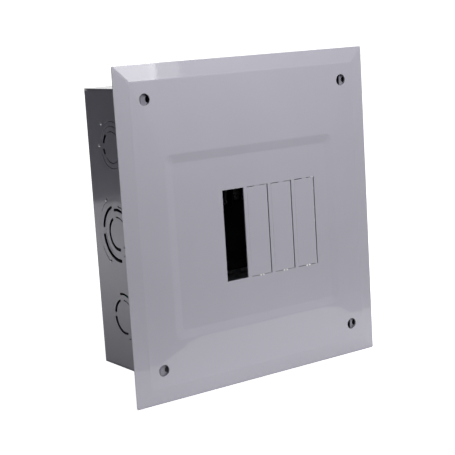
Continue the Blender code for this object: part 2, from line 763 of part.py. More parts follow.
def neutral_support(name, z, look):
    """A moulded stand-off between the enclosure's back and the neutral bar."""
    front = NEUTRAL_BACK_Y + GAP
    foot_front = PAN_FOOT_Y - SUPPORT_FOOT_THICKNESS

    def around(middle, size):
        return (middle - size / 2, middle + size / 2)

    foot = block(around(NEUTRAL_X, SUPPORT_FOOT_WIDTH), (foot_front, PAN_FOOT_Y), around(z, SUPPORT_HEIGHT))
    post = block(around(NEUTRAL_X, SUPPORT_POST_WIDTH), (front, PAN_FOOT_Y), around(z, SUPPORT_POST_HEIGHT))
    depth = (front - OVERSHOOT, front + SUPPORT_HOLE_DEPTH)
    hole = rod(TERMINAL_HOLE_RADIUS, "Y", (NEUTRAL_X, z), *depth)
    part(name, look["support"], foot, [post], [hole])


def bonding_strap(look):
    """A copper strip from the neutral bar's lower end to the enclosure's back."""
    sheet = STRAP_SHEET
    end = NEUTRAL_BOTTOM - GAP
    foot = PAN_FOOT_Y
    outline = (
        (NEUTRAL_BACK_Y - NEUTRAL_SECTION, end),
        (NEUTRAL_BACK_Y - NEUTRAL_SECTION, end - sheet),
        (foot - sheet, end - sheet),
        (foot - sheet, end - STRAP_FOOT),
        (foot, end - STRAP_FOOT),
        (foot, end),
    )
    shape = prism(outline, "X", NEUTRAL_X - STRAP_WIDTH / 2, NEUTRAL_X + STRAP_WIDTH / 2)
    place = (NEUTRAL_X, NEUTRAL_BOTTOM - BOND_SCREW_DROP)
    hole = rod(SCREW_HOLE_RADIUS, "Y", place, foot - sheet - OVERSHOOT, foot + OVERSHOOT)
    part("bonding_strap", look["copper"], shape, (), [hole])


def interior_screws(look):
    """Screws that hold the pan, bus bars, rail, ground bar, neutral bar and bonding strap."""
    small = slotted_screw(SMALL_SCREW, SMALL_SCREW_LENGTH)
    pan = slotted_screw(PAN_SCREW, PAN_SHEET + SHEET)
    for number, (x, z) in enumerate(pan_screw_places(), 1):
        screw(f"pan_screw_{number}", pan, (x, PAN_FOOT_Y - PAN_SHEET - GAP, z), look["screw"])
    for number, (x, z, y) in enumerate(bus_screw_places(), 1):
        screw(f"bus_screw_{number}", small, (x, y - GAP, z), look["screw"])
    for number, (x, z, y) in enumerate(rail_screw_places(), 1):
        screw(f"rail_screw_{number}", small, (x, y - GAP, z), look["screw"])
    ground = slotted_screw(BAR_SCREW, GROUND_SECTION + SHEET)
    for number, z in enumerate(GROUND_FIXING_Z, 1):
        place = (GROUND_X, PAN_FOOT_Y - GROUND_SECTION - GAP, z)
        screw(f"ground_bar_screw_{number}", ground, place, look["screw"])
    neutral = slotted_screw(BAR_SCREW, NEUTRAL_SECTION + SUPPORT_HOLE_DEPTH - ROOT)
    for number, z in enumerate(NEUTRAL_FIXING_Z, 1):
        place = (NEUTRAL_X, NEUTRAL_BACK_Y - NEUTRAL_SECTION - GAP, z)
        screw(f"neutral_bar_screw_{number}", neutral, place, look["screw"])
    bond = slotted_screw(BOND_SCREW, STRAP_SHEET + SHEET)
    place = (NEUTRAL_X, PAN_FOOT_Y - STRAP_SHEET - GAP, NEUTRAL_BOTTOM - BOND_SCREW_DROP)
    screw("bonding_screw", bond, place, look["bond"])


def terminal_screws(look):
    """The wire-clamping screws of both bars, backed out to leave the wire holes open."""
    for label, x, back, section, heights in (
        ("neutral", NEUTRAL_X, NEUTRAL_BACK_Y, NEUTRAL_SECTION, NEUTRAL_SCREW_Z),
        ("ground", GROUND_X, PAN_FOOT_Y, GROUND_SECTION, GROUND_SCREW_Z),
    ):
        wall = section / 2 - WIRE_HOLE_RADIUS
        mesh = slotted_screw(TERMINAL_SCREW, wall + TERMINAL_BACKED_OUT)
        y = back - section - TERMINAL_BACKED_OUT
        for number, z in enumerate(heights, 1):
            screw(f"{label}_screw_{number}", mesh, (x, y, z), look["screw"])


def main():
    start()
    look = materials()
    enclosure_wrap(look)
    end_wall("top_end_wall", 1, look)
    end_wall("bottom_end_wall", -1, look)
    cover = cover_plate(look)
    for number in range(1, POLE_COUNT):
        twistout_plate(number, number, look, cover)
    interior_pan(look)
    bus_insulator(look)
    lug_reach = BASE_HALF_WIDTH + LUG_WIDTH / 2 - LUG_OVERLAP
    lug_a_x = SLOT_GROUP_X - lug_reach
    lug_b_x = SLOT_GROUP_X + lug_reach
    bus_bar("bus_bar_a", BUS_A_Z, BUS_A_BACK_Y, (0, 2), lug_a_x - LUG_WIDTH / 2, look)
    bus_bar("bus_bar_b", BUS_B_Z, BUS_B_BACK_Y, (1, 3), lug_b_x + LUG_WIDTH / 2, look)
    hook_rail(look)
    set_screw = set_screw_mesh()
    lugs = (
        ("main_lug_a", lug_a_x, BUS_A_Z, BUS_A_BACK_Y - BUS_THICKNESS - GAP),
        ("main_lug_b", lug_b_x, BUS_B_Z, BUS_B_BACK_Y - BUS_THICKNESS - GAP),
        ("neutral_lug", NEUTRAL_X, NEUTRAL_LUG_Z, NEUTRAL_BACK_Y - NEUTRAL_SECTION - GAP),
    )
    for name, x, z, back in lugs:
        lug(name, x, z, back, look)
        lug_set_screw(f"{name}_screw", set_screw, x, z, back, look)
    place = (NEUTRAL_X, NEUTRAL_BACK_Y, NEUTRAL_SECTION, (NEUTRAL_BOTTOM, NEUTRAL_TOP))
    terminal_bar("neutral_bar", *place, NEUTRAL_SCREW_Z, NEUTRAL_FIXING_Z, look)
    for number, z in enumerate(NEUTRAL_FIXING_Z, 1):
        neutral_support(f"neutral_support_{number}", z, look)
    place = (GROUND_X, PAN_FOOT_Y, GROUND_SECTION, (GROUND_BOTTOM, GROUND_TOP))
    terminal_bar("ground_bar", *place, GROUND_SCREW_Z, GROUND_FIXING_Z, look)
    bonding_strap(look)
    interior_screws(look)
    terminal_screws(look)


main()
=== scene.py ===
"""Looks for the residential load center: enamel, knockouts, cover, screws, light and camera.

Metres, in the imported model's frame: +X right, -Y towards the room, +Z up.
"""

import json
import math

import bmesh
import bpy
from mathutils import Matrix, Vector

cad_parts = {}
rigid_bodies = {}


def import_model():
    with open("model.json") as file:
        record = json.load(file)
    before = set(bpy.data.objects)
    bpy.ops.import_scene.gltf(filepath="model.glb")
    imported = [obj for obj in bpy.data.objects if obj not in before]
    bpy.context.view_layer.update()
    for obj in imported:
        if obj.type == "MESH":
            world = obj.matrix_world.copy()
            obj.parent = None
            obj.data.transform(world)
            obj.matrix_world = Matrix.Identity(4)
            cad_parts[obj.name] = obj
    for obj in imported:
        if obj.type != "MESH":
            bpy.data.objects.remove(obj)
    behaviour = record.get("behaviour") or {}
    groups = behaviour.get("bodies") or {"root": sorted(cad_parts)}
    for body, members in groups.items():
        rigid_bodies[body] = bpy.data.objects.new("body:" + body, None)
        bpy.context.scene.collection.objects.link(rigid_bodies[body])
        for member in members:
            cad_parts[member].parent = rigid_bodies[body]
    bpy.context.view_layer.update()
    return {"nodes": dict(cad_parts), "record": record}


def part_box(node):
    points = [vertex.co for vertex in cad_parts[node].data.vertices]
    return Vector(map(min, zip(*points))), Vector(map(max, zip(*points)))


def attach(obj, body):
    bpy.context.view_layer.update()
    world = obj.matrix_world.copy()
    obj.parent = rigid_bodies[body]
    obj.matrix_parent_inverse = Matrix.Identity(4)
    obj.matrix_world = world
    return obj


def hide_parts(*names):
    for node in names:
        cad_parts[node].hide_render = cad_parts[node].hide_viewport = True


MM = 0.001
WHITE = (1, 1, 1, 1)

for stale in list(bpy.data.objects):
    bpy.data.objects.remove(stale)

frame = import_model()
NODES = frame["nodes"]
RIM_LOW, RIM_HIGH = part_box("cover_plate")
COVER_CENTRE = (RIM_LOW + RIM_HIGH) / 2
FRONT_Y = RIM_LOW.y
RISE = 3 * MM  # of the cover's frame in front of its rim
RIM_FRONT_Y = FRONT_Y + RISE


# ---------------------------------------------------------------- camera

LENS_MM = 95.18
SENSOR_MM = 36
NEAR_CLIP = 0.05
# From the centre of the cover's rim
CAMERA_OFFSET = Vector((-593.8, -813.4, 165.4)) * MM
CAMERA_FORWARD = Vector((0.56298, 0.80938, -0.16719))
CAMERA_RIGHT = Vector((0.81337, -0.57848, -0.06159))


def camera():
    made = bpy.data.objects.new("camera", bpy.data.cameras.new("camera"))
    bpy.context.scene.collection.objects.link(made)
    made.data.lens = LENS_MM
    made.data.sensor_width = SENSOR_MM
    made.data.clip_start = NEAR_CLIP
    forward = CAMERA_FORWARD.normalized()
    right = (CAMERA_RIGHT - forward * CAMERA_RIGHT.dot(forward)).normalized()
    up = right.cross(forward)
    turn = Matrix((right, up, -forward)).transposed().to_4x4()
    place = Vector((COVER_CENTRE.x, RIM_FRONT_Y, COVER_CENTRE.z)) + CAMERA_OFFSET
    made.matrix_world = Matrix.Translation(place) @ turn
    bpy.context.scene.camera = made


# ---------------------------------------------------------------- materials

# Sockets of a Mix node that mixes colours, by index
MIX_FACTOR, MIX_FIRST, MIX_SECOND, MIX_RESULT = 0, 6, 7, 2
WEAR_WIDTH = 0.35 * MM
WORN_ENAMEL = (0.66, 0.65, 0.68)


class Nodes:
    """A short way to lay out a material's nodes."""

    def __init__(self, name):
        self.material = bpy.data.materials.new(name)
        self.material.use_nodes = True
        self.tree = self.material.node_tree
        self.shader = self.tree.nodes["Principled BSDF"]
        self.place = self.add("ShaderNodeTexCoord").outputs["Object"]

    def add(self, kind, **settings):
        node = self.tree.nodes.new(kind)
        for name, value in settings.items():
            setattr(node, name, value)
        return node

    def link(self, source, target):
        self.tree.links.new(source, target)

    def set(self, **values):
        """Sets the shader's own sockets, named with underscores for spaces."""
        for name, value in values.items():
            self.shader.inputs[name.replace("_", " ")].default_value = value

    def scaled(self, scale):
        node = self.add("ShaderNodeMapping")
        node.inputs["Scale"].default_value = scale
        self.link(self.place, node.inputs["Vector"])
        return node.outputs["Vector"]

    def noise(self, scale, detail=2.0, roughness=0.5, stretch=(1, 1, 1)):
        node = self.add("ShaderNodeTexNoise")
        node.inputs["Scale"].default_value = scale
        node.inputs["Detail"].default_value = detail
        node.inputs["Roughness"].default_value = roughness
        self.link(self.scaled(stretch), node.inputs["Vector"])
        return node.outputs["Fac"]

    def cells(self, scale):
        node = self.add("ShaderNodeTexVoronoi")
        node.inputs["Scale"].default_value = scale
        self.link(self.place, node.inputs["Vector"])
        return node.outputs["Color"]

    def ramp(self, source, stops):
        """A colour ramp from (position, colour) stops; a number stands for a grey."""
        node = self.add("ShaderNodeValToRGB")
        for i, (position, colour) in enumerate(stops):
            stop = node.color_ramp.elements[i]
            stop.position = position
            rgb = (colour,) * 3 if isinstance(colour, (int, float)) else colour
            stop.color = (*rgb, 1)
        self.link(source, node.inputs["Fac"])
        return node.outputs["Color"]

    def mix(self, factor, first, second, blend="MIX"):
        node = self.add("ShaderNodeMix", data_type="RGBA", blend_type=blend)
        for index, value in ((MIX_FACTOR, factor), (MIX_FIRST, first), (MIX_SECOND, second)):
            socket = node.inputs[index]
            if isinstance(value, bpy.types.NodeSocket):
                self.link(value, socket)
            elif isinstance(value, tuple):
                socket.default_value = (*value, 1)
            else:
                socket.default_value = value
        return node.outputs[MIX_RESULT]

    def bump(self, height, distance, strength, under=None):
        node = self.add("ShaderNodeBump")
        node.inputs["Distance"].default_value = distance
        node.inputs["Strength"].default_value = strength
        self.link(height, node.inputs["Height"])
        if under is not None:
            self.link(under, node.inputs["Normal"])
        return node.outputs["Normal"]

    def worn_edges(self):
        """How worn an edge is: where a rounded normal leaves the true one, broken up by noise."""
        rounded = self.add("ShaderNodeBevel", samples=4)
        rounded.inputs["Radius"].default_value = WEAR_WIDTH
        turn = self.add("ShaderNodeVectorMath", operation="DOT_PRODUCT")
        self.link(rounded.outputs["Normal"], turn.inputs[0])
        self.link(self.add("ShaderNodeNewGeometry").outputs["Normal"], turn.inputs[1])
        edges = self.ramp(turn.outputs["Value"], ((0.86, 1.0), (0.97, 0.0)))
        patches = self.ramp(self.noise(140, 3), ((0.42, 0.0), (0.62, 0.3)))
        return self.mix(1.0, edges, patches, "MULTIPLY")

    def finish(self, colour, roughness=None, normal=None):
        self.link(colour, self.shader.inputs["Base Color"])
        if roughness is not None:
            self.link(roughness, self.shader.inputs["Roughness"])
        if normal is not None:
            self.link(normal, self.shader.inputs["Normal"])
        return self.material


def toned(colour, low, high):
    """Ramp stops from a darker to a lighter shade of one colour."""
    dark = tuple(channel * low for channel in colour)
    light = tuple(channel * high for channel in colour)
    return (0.3, dark), (0.7, light)


def enamel(name, colour, base_gloss=0.38, specular=0.3, skin=0.022):
    """Baked enamel over pressed steel: a glossy skin with fine orange peel, and worn edges."""
    n = Nodes(name)
    paint = n.ramp(n.noise(14, 3), toned(colour, 0.985, 1.015))
    speckle = n.ramp(n.noise(2600, 1), ((0.35, 0.955), (0.62, 1.0)))
    paint = n.mix(0.5, paint, speckle, "MULTIPLY")
    paint = n.mix(n.worn_edges(), paint, WORN_ENAMEL)
    rough = n.ramp(n.noise(30, 2), ((0.3, base_gloss * 0.95), (0.7, base_gloss * 1.05)))
    waves = n.bump(n.noise(16, 1), 0.3 * MM, 0.25)
    peel = n.bump(n.noise(620, 2, 0.4), 0.012 * MM, 0.5, waves)
    n.link(peel, n.shader.inputs["Coat Normal"])
    n.set(Metallic=0.0, IOR=1.5, Specular_IOR_Level=specular)
    n.set(Coat_Weight=1.0, Coat_Roughness=skin, Coat_IOR=1.5)
    return n.finish(paint, rough, peel)


def galvanised(name):
    """Zinc with a soft spangle and a little grime."""
    n = Nodes(name)
    spangle = n.cells(170)
    tone = n.ramp(spangle, ((0.1, (0.44, 0.46, 0.48)), (0.9, (0.66, 0.67, 0.68))))
    grime = n.ramp(n.noise(40, 4, 0.6), ((0.3, 0.62), (0.7, 1.0)))
    tone = n.mix(0.45, tone, grime, "MULTIPLY")
    rough = n.ramp(spangle, ((0.1, 0.3), (0.9, 0.5)))
    normal = n.bump(n.noise(900, 3), 0.05 * MM, 0.5)
    n.set(Metallic=1.0)
    return n.finish(tone, rough, normal)


def moulding(name, colour, gloss=0.45):
    """Moulded thermoset with a fine spark-eroded grain."""
    n = Nodes(name)
    tone = n.ramp(n.noise(60, 4), toned(colour, 0.8, 1.2))
    rough = n.ramp(n.noise(90, 3), ((0.3, gloss * 0.85), (0.7, gloss * 1.2)))
    normal = n.bump(n.noise(1900, 3, 0.6), 0.09 * MM, 0.6)
    n.set(Metallic=0.0, IOR=1.5)
    return n.finish(tone, rough, normal)


def metal(name, colour, rough, stretch, scale=260, tarnish=0.3):
    """Plated or extruded metal, with drawn lines along one direction and a little tarnish."""
    n = Nodes(name)
    lines = n.noise(scale, 4, 0.6, stretch)
    tone = n.ramp(lines, toned(colour, 0.82, 1.0))
    spots = n.ramp(n.noise(95, 5, 0.7), ((0.35, 0.45), (0.65, 1.0)))
    tone = n.mix(tarnish, tone, spots, "MULTIPLY")
    rougher = n.ramp(lines, ((0.25, rough * 0.75), (0.75, rough * 1.35)))
    normal = n.bump(lines, 0.04 * MM, 0.5)
    n.set(Metallic=1.0)
    return n.finish(tone, rougher, normal)


def materials():
    """The material of each slot."""
    even = (1, 1, 1)
    return {
        "cover_enamel": enamel("cover_enamel", (0.368, 0.360, 0.412)),
        # The enclosure's enamel is a darker grey than the cover's: painted shade for its dim side
        # walls
        "enclosure_enamel": enamel("enclosure_enamel", (0.190, 0.186, 0.222), 0.34, 0.45, 0.07),
        "galvanised_steel": galvanised("galvanised_steel"),
        # Black moulding; on the hook rail its black is partly painted shade, for the dark inside
        # the open slot
        "black_moulding": moulding("black_moulding", (0.012, 0.012, 0.014)),
        "tin_plated_bus": metal("tin_plated_bus", (0.74, 0.73, 0.70), 0.28, (0.04, 1, 1)),
        "lug_aluminium": metal("lug_aluminium", (0.78, 0.79, 0.80), 0.3, (1, 1, 0.05)),
        "zinc_screw": metal("zinc_screw", (0.72, 0.71, 0.66), 0.27, even, 500),
        "white_moulding": moulding("white_moulding", (0.70, 0.69, 0.65), 0.4),
        "green_screw": metal("green_screw", (0.05, 0.34, 0.12), 0.32, even, 500),
        "copper_strap": metal("copper_strap", (0.83, 0.45, 0.29), 0.3, (1, 1, 0.06), tarnish=0.5),
    }


# ---------------------------------------------------------------- mesh helpers

BEVEL_SEGMENTS = 2
FACE_WEIGHT = 90
WELD_DISTANCE = 0.002 * MM
FLAT_DEG = 0.6
NODE_SHADE_DEG = 40
SHEET_SHADE_DEG = 30
PIP_SEGMENTS = (20, 12)


def put(name, shape):
    """A new object from a bmesh."""
    mesh = bpy.data.meshes.new(name)
    shape.to_mesh(mesh)
    shape.free()
    made = bpy.data.objects.new(name, mesh)
    bpy.context.scene.collection.objects.link(made)
    return made


def gathered(name, shapes):
    """One object from several bmeshes."""
    whole = bmesh.new()
    for shape in shapes:
        mesh = bpy.data.meshes.new("piece")
        shape.to_mesh(mesh)
        shape.free()
        whole.from_mesh(mesh)
        bpy.data.meshes.remove(mesh)
    return put(name, whole)


def applied(obj):
    """Turns an object's modifiers into its mesh."""
    bpy.context.view_layer.update()
    graph = bpy.context.evaluated_depsgraph_get()
    mesh = bpy.data.meshes.new_from_object(obj.evaluated_get(graph))
    old = obj.data
    obj.modifiers.clear()
    obj.data = mesh
    bpy.data.meshes.remove(old)


def shade(obj, angle_deg=35):
    """Smooth shading in which the broad flat faces stay flat."""
    obj.data.shade_smooth()
    obj.data.set_sharp_from_angle(angle=math.radians(angle_deg))
    weigh = obj.modifiers.new("normals", "WEIGHTED_NORMAL")
    weigh.keep_sharp = True
    weigh.weight = FACE_WEIGHT
    applied(obj)


def bevel(obj, width, angle_deg=30):
    change = obj.modifiers.new("edges", "BEVEL")
    change.width = width
    change.segments = BEVEL_SEGMENTS
    change.limit_method = "ANGLE"
    change.angle_limit = math.radians(angle_deg)
    change.use_clamp_overlap = True
    change.harden_normals = False
    applied(obj)


def cut(obj, cutters):
    """Cuts shapes away from an object, one Boolean for them all."""
    tool = gathered("cutter", cutters)
    change = obj.modifiers.new("cut", "BOOLEAN")
    change.operation = "DIFFERENCE"
    change.solver = "EXACT"
    change.object = tool
    applied(obj)
    bpy.data.objects.remove(tool)


def strips(shape, rings):
    """Faces between neighbouring rings, which all have the same number of points."""
    for first, second in zip(rings, rings[1:]):
        for i in range(len(first)):
            j = (i + 1) % len(first)
            shape.faces.new((first[i], first[j], second[j], second[i]))


def closed(shape, rings):
    """A solid from rings: its sides and both ends, with its normals outwards."""
    strips(shape, rings)
    shape.faces.new(rings[0])
    shape.faces.new(rings[-1])
    bmesh.ops.recalc_face_normals(shape, faces=shape.faces)


def pip(place, size):
    """A small rounded bump from its centre and its three half sizes."""
    shape = bmesh.new()
    matrix = Matrix.Translation(place) @ Matrix.Diagonal((*size, 1))
    around, up = PIP_SEGMENTS
    bmesh.ops.create_uvsphere(shape, u_segments=around, v_segments=up, radius=1, matrix=matrix)
    return shape


def slab(outline, low, high):
    """An (X, Z) outline extruded along Y."""
    shape = bmesh.new()
    face = shape.faces.new([shape.verts.new((x, low, z)) for x, z in outline])
    made = bmesh.ops.extrude_face_region(shape, geom=[face])["geom"]
    moved = [item for item in made if isinstance(item, bmesh.types.BMVert)]
    bmesh.ops.translate(shape, verts=moved, vec=(0, high - low, 0))
    bmesh.ops.recalc_face_normals(shape, faces=shape.faces)
    return shape


def block(low, high):
    """A box from two opposite corners."""
    shape = bmesh.new()
    low = Vector(low)
    high = Vector(high)
    place = Matrix.Translation((low + high) / 2) @ Matrix.Diagonal((*(high - low), 1))
    bmesh.ops.create_cube(shape, size=1, matrix=place)
    return shape


def rod_y(x, z, radius, low, high, segments=48):
    """A rod along Y."""
    shape = bmesh.new()
    upright = Matrix.Rotation(math.pi / 2, 4, "X")
    bmesh.ops.create_cone(
        shape,
        cap_ends=True,
        segments=segments,
        radius1=radius,
        radius2=radius,
        depth=high - low,
        matrix=Matrix.Translation((x, (low + high) / 2, z)) @ upright,
    )
    return shape


def arc(centre, radius, start_deg, end_deg, count):
    points = []
    for i in range(count + 1):
        angle = math.radians(start_deg + (end_deg - start_deg) * i / count)
        x = centre[0] + radius * math.cos(angle)
        z = centre[1] + radius * math.sin(angle)
        points.append((x, z))
    return points


def rounded_rectangle(x, z, radius, count=6):
    """Corner arcs of a rectangle, anticlockwise from its lower left."""
    left, right = x[0] + radius, x[1] - radius
    low, high = z[0] + radius, z[1] - radius
    points = []
    for middle, start in (
        ((left, low), 180),
        ((right, low), 270),
        ((right, high), 0),
        ((left, high), 90),
    ):
        points += arc(middle, radius, start, start + 90, count)
    return points


def dress(obj, body, slot, look, nodes=()):
    """Material, body and slot of a piece, and the CAD nodes that it stands for."""
    obj.data.materials.clear()
    obj.data.materials.append(look[slot])
    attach(obj, body)
    if nodes:
        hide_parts(*nodes)


def refined(node, name, width):
    """A copy of a CAD node with its flat faces whole again and its edges rounded."""
    made = bpy.data.objects.new(name, NODES[node].data.copy())
    bpy.context.scene.collection.objects.link(made)
    shape = bmesh.new()
    shape.from_mesh(made.data)
    bmesh.ops.remove_doubles(shape, verts=shape.verts, dist=WELD_DISTANCE)
    bmesh.ops.dissolve_limit(
        shape,
        angle_limit=math.radians(FLAT_DEG),
        verts=shape.verts,
        edges=shape.edges,
        use_dissolve_boundaries=False,
    )
    shape.to_mesh(made.data)
    shape.free()
    normals = made.data.attributes.get("custom_normal")
    if normals is not None:
        made.data.attributes.remove(normals)
    bevel(made, width)
    shade(made, NODE_SHADE_DEG)
    return made


# ---------------------------------------------------------------- cover

COVER_SHEET = 1.2 * MM
BEVEL_WIDTH = 13 * MM
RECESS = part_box("twistout_plate_1")[0].y - FRONT_Y
STEP = 7.25 * MM
PANEL_X = (-87 * MM, 87 * MM)
PANEL_Z = (-88 * MM, 64.5 * MM)
# The frame falls this far from the panel's step to the bevel
CROWN = 1.1 * MM
CROWN_STEPS = 10
# Half widths of the rounding at the step's two ends, and between the bevel and the frame
BEND = 0.7 * MM
FOLD = 1.3 * MM
ROUNDING = (-1, -0.5, 0, 0.5, 1)
# Corner radii from the rim inwards: rim, fold, frame's outer and inner edge, panel, its floor
RIM_CORNER = 1.2 * MM
FOLD_CORNER = 1.5 * MM
FRAME_CORNERS = (2.5 * MM, 7 * MM)
PANEL_CORNER = 6.5 * MM
FLOOR_CORNER = 3.5 * MM
# Lowest part of the bevel, as (distance in from the rim, height)
LIP = (0.5 * MM, 0.11 * MM)
CLEARANCE = 0.05 * MM  # from the frame's crown to the front of the CAD box
HOLE_PLACES = [(x * 101.1 * MM, z * 110.2 * MM) for x in (-1, 1) for z in (-1, 1)]
HOLE_RADIUS = 4.95 * MM
SLOT_PITCH = 25.4 * MM
SLOT_SIZE = (21.8 * MM, 77.3 * MM)
SLOT_GROUP = (16.6 * MM, -9.45 * MM)  # middle of the four, from the cover's centre
SLOT_COUNT = 4
SHEARED_EDGE = 0.08 * MM
SHEARED_DEG = 50
# The cutters reach this far in front of the cover and behind its rim
CUT_REACH = (4 * MM, 6 * MM)
# Gaps round a twist-out; the top one narrows to the right
LEFT_SLIT = 0.05 * MM
TOP_SLIT = 0.6 * MM
TOP_SLIT_RISE = 0.35 * MM
BOTTOM_SLIT = 0.42 * MM
TAB_GAP = 0.06 * MM
TAB_WIDTH = 4.5 * MM
# A pair of burr bumps at a twist-out's bottom tab, whose light colour is a painted glint: half
# sizes, and places from the middle of its end
BURR = (0.8 * MM, 0.5 * MM, 0.7 * MM)
BURR_SPREAD = 1.5 * MM
BURR_DROP = 0.2 * MM


def between(first, second, share):
    return first + (second - first) * share


def rect_between(outer, inner, share):
    """A rectangle part of the way from one to another."""
    rect = []
    for (outer_low, outer_high), (inner_low, inner_high) in zip(outer, inner):
        rect.append((between(outer_low, inner_low, share), between(outer_high, inner_high, share)))
    return tuple(rect)


def inset(rect, distance):
    return tuple((low + distance, high - distance) for low, high in rect)


def cover_loops():
    """(rectangle, corner radius, height) of the pressing's loops, from its rim to its panel."""
    half_width = (RIM_HIGH.x - RIM_LOW.x) / 2
    half_height = (RIM_HIGH.z - RIM_LOW.z) / 2
    rim = ((-half_width, half_width), (-half_height, half_height))
    fold = inset(rim, BEVEL_WIDTH)
    panel = (PANEL_X, PANEL_Z)
    floor = inset(panel, STEP)
    lip_reach, lip_height = LIP
    loops = [(rim, RIM_CORNER, 0.0), (inset(rim, lip_reach), RIM_CORNER, lip_height)]
    # The bevel, then its soft fold into the frame
    slope = RISE / BEVEL_WIDTH
    for share in ROUNDING:
        reach = share * FOLD
        soft = (FOLD - abs(reach)) * 0.5 * (1 - abs(share))
        height = RISE + slope * min(reach, 0) - slope * soft * 0.5 - CLEARANCE - CROWN
        loops.append((inset(fold, reach), FOLD_CORNER + max(reach, 0), height))
    # The frame: slightly crowned between the bevel and the panel's step
    start = inset(fold, 2 * FOLD)
    end = inset(panel, -1.5 * BEND)
    top = RISE - CLEARANCE
    for i in range(CROWN_STEPS + 1):
        share = i / CROWN_STEPS
        corner = between(*FRAME_CORNERS, share)
        loops.append((rect_between(start, end, share), corner, top - CROWN * (1 - share)))
    # The step down to the recessed panel: a flat ramp, rounded at both ends
    slope = RECESS / STEP
    for share in ROUNDING:
        drop = slope * BEND * (share + 1) ** 2 / 4
        loops.append((inset(panel, share * BEND), PANEL_CORNER, top - drop))
    for share in ROUNDING:
        rise = slope * BEND * (1 - share) ** 2 / 4
        loops.append((inset(floor, share * BEND), FLOOR_CORNER, top - RECESS + rise))
    return loops


def cover_shell():
    """The pressed sheet, before its slots and holes are cut."""
    shape = bmesh.new()
    rings = []
    for (x, z), radius, height in cover_loops():
        ring = []
        for a, b in rounded_rectangle(x, z, radius):
            place = (COVER_CENTRE.x + a, RIM_FRONT_Y - height, COVER_CENTRE.z + b)
            ring.append(shape.verts.new(place))
        rings.append(ring)
    strips(shape, rings)
    shape.faces.new(rings[-1])
    made = put("cover_pressing", shape)
    shell = made.modifiers.new("sheet", "SOLIDIFY")
    shell.thickness = COVER_SHEET
    shell.offset = -1
    shell.use_even_offset = True
    applied(made)
    return made


def slot_x(index):
    return COVER_CENTRE.x + SLOT_GROUP[0] + (index - (SLOT_COUNT - 1) / 2) * SLOT_PITCH


def cover(look):
    """The cover, its breaker slots and screw holes with a softly rolled sheared edge."""
    made = cover_shell()
    near = FRONT_Y - CUT_REACH[0]
    far = RIM_FRONT_Y + CUT_REACH[1]
    z = COVER_CENTRE.z + SLOT_GROUP[1]
    cutters = []
    for i in range(SLOT_COUNT):
        low = (slot_x(i) - SLOT_SIZE[0] / 2, near, z - SLOT_SIZE[1] / 2)
        high = (slot_x(i) + SLOT_SIZE[0] / 2, far, z + SLOT_SIZE[1] / 2)
        cutters.append(block(low, high))
    for x, height in HOLE_PLACES:
        place = (COVER_CENTRE.x + x, COVER_CENTRE.z + height)
        cutters.append(rod_y(*place, HOLE_RADIUS, near, far))
    cut(made, cutters)
    bevel(made, SHEARED_EDGE, SHEARED_DEG)
    shade(made, SHEET_SHADE_DEG)
    dress(made, "cover", "cover_enamel", look, ["cover_plate"])


def twistouts(look):
    """The filler plates: close on the left, wider on the right, with a short tab at each end."""
    z = COVER_CENTRE.z + SLOT_GROUP[1]
    bottom = z - SLOT_SIZE[1] / 2 + BOTTOM_SLIT
    top = z + SLOT_SIZE[1] / 2 - TOP_SLIT
    reach = SLOT_SIZE[1] / 2 - TAB_GAP
    half_tab = TAB_WIDTH / 2
    for number in range(1, SLOT_COUNT):
        node = f"twistout_plate_{number}"
        low_corner, high_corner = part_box(node)
        x = slot_x(number)
        left = x - SLOT_SIZE[0] / 2 + LEFT_SLIT
        right = high_corner.x
        outline = [(left, bottom), (x - half_tab, bottom), (x - half_tab, z - reach)]
        outline += [(x + half_tab, z - reach), (x + half_tab, bottom), (right, bottom)]
        outline += [(right, top + TOP_SLIT_RISE), (x + half_tab, top), (x + half_tab, z + reach)]
        outline += [(x - half_tab, z + reach), (x - half_tab, top), (left, top)]
        made = put(f"twistout_{number}", slab(outline, low_corner.y, high_corner.y))
        bevel(made, SHEARED_EDGE)
        shade(made)
        dress(made, node, "cover_enamel", look, [node])
        painted_glint_burrs = []
        for side in (-1, 1):
            place = (x + side * BURR_SPREAD, low_corner.y, z - reach - BURR_DROP)
            painted_glint_burrs.append(pip(place, BURR))
        painted_glints = gathered(f"twistout_{number}_burrs", painted_glint_burrs)
        shade(painted_glints)
        # Painted highlight: the burr bumps take a light moulding colour to stand for glints on
        # them
        dress(painted_glints, node, "white_moulding", look)


# ---------------------------------------------------------------- enclosure

WRAP_EDGE = 0.18 * MM
KNOCKOUT_Y = -41 * MM
GROOVE_WIDTH = 0.4 * MM
GROOVE_DEPTH = 0.28 * MM
GROOVE_POINTS = 96
# Height of each side knockout and the radii of its scored rings in mm
SIDE_RINGS = (
    (70.6 * MM, (13.2, 17.8, 21.6)),
    (-1.5 * MM, (13.7, 20.0, 23.2, 30.4)),
    (-72.7 * MM, (14.4, 19.6)),
)
# Height of each left knockout and its slits, as (radius, start and end angle, start and end
# width) in mm and degrees; angle 0 points to the back and 90 up
SIDE_SLITS = (
    (
        70.6 * MM,
        (
            (13.2, 12, 49, 2.4, 1.8),
            (13.2, -28, -7, 1.6, 2.4),
        ),
    ),
    (
        -1.5 * MM,
        (
            (13.7, -97, 57, 2.2, 2.0),
            (20.0, 78, 164, 2.0, 1.4),
            (23.2, -96, -7, 2.4, 3.3),
            (23.2, 9.5, 69, 3.0, 1.8),
        ),
    ),
    (
        -72.7 * MM,
        (
            (14.4, 9, 68, 2.8, 1.4),
            (14.4, -104, -7, 1.4, 3.0),
            (19.6, 76, 164, 1.5, 1.0),
        ),
    ),
)
# A slit is cut from just outside the wall to inside the box, and torn wider there
SLIT_START = -0.3 * MM
SLIT_END = 1.6 * MM
TEAR = 1.7 * MM
SLIT_STEPS = 24
# Stake marks on the side walls, as (Y, height) in mm
NUBS = ((-26.2, 89.8), (-20.8, 71.5), (-24.9, 25.4), (-24.9, -26.8))
NUB_SIZE = (0.9 * MM, 1.5 * MM, 1.5 * MM)


